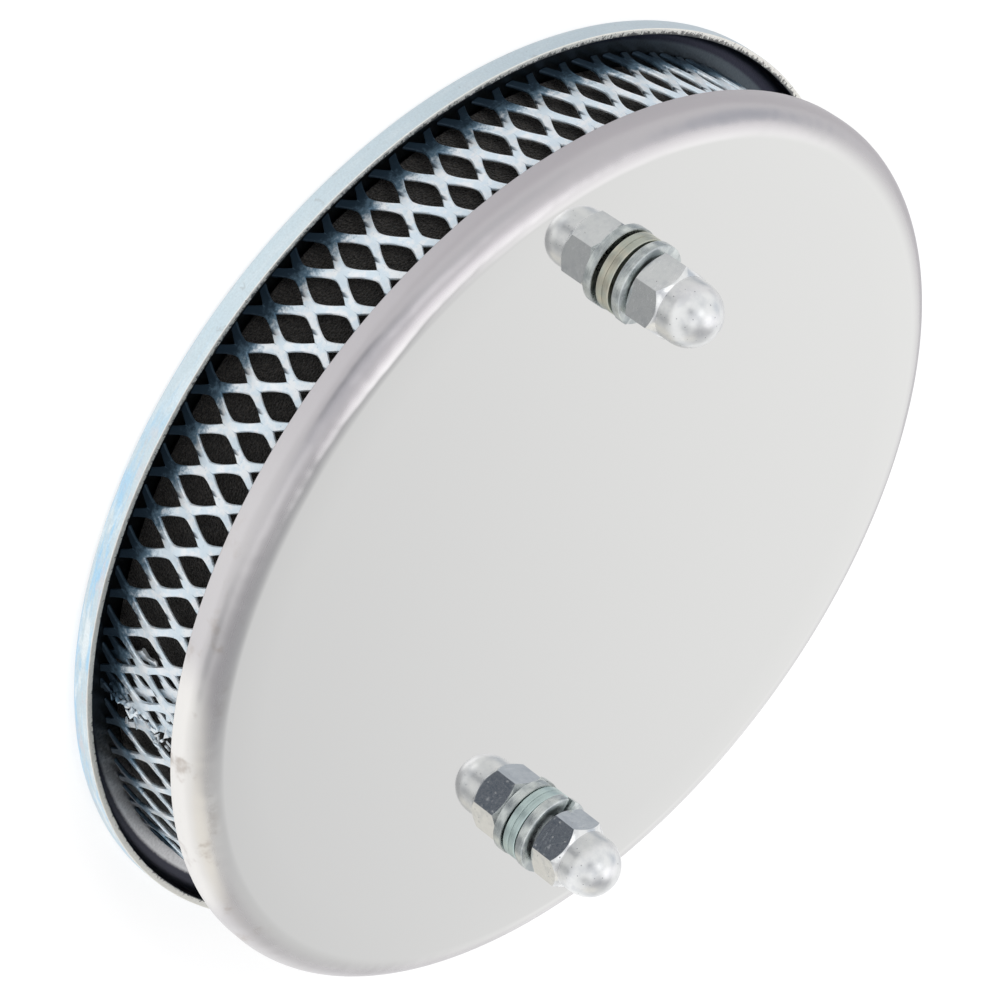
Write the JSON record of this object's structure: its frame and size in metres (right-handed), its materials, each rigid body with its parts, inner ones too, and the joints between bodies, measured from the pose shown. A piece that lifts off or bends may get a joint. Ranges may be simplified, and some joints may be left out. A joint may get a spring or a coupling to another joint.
{
  "type": "carburettor air filter",
  "caption": "Round pancake air filter: pressed cover and back plate clamped over a foam ring and an expanded-metal band by studs and dome nuts.",
  "frame": {"origin": "centre of the back plate's rear face, on the filter's axis", "axes": "+Z along the axis towards the cover, +X through the studs"},
  "size_m": [0.1468, 0.1468, 0.0409],
  "materials": {
    "zinc_plate": "blue passivated zinc plate",
    "polished_cover": "mirror polished",
    "zinc_mesh": "blue passivated zinc plate",
    "filter_foam": "open-cell foam",
    "inner_zinc": "zinc plated",
    "stud_steel": "zinc plated",
    "zinc_washer": "zinc plated, faintly yellow",
    "spring_steel": "zinc plated, dull",
    "bright_nut": "bright zinc plated"
  },
  "bodies": {
    "root": {"back_plate": "zinc_plate", "front_cover": "polished_cover", "outer_mesh": "zinc_mesh", "foam_element": "filter_foam", "inner_screen": "inner_zinc", "stud_a": "stud_steel", "stud_b": "stud_steel", "spacer_tube_a": "stud_steel", "spacer_tube_b": "stud_steel", "flat_washer_a": "zinc_washer", "flat_washer_b": "zinc_washer", "spring_washer_a": "spring_steel", "spring_washer_b": "spring_steel", "dome_nut_a": "bright_nut", "dome_nut_b": "bright_nut"}
  },
  "joints": []
}
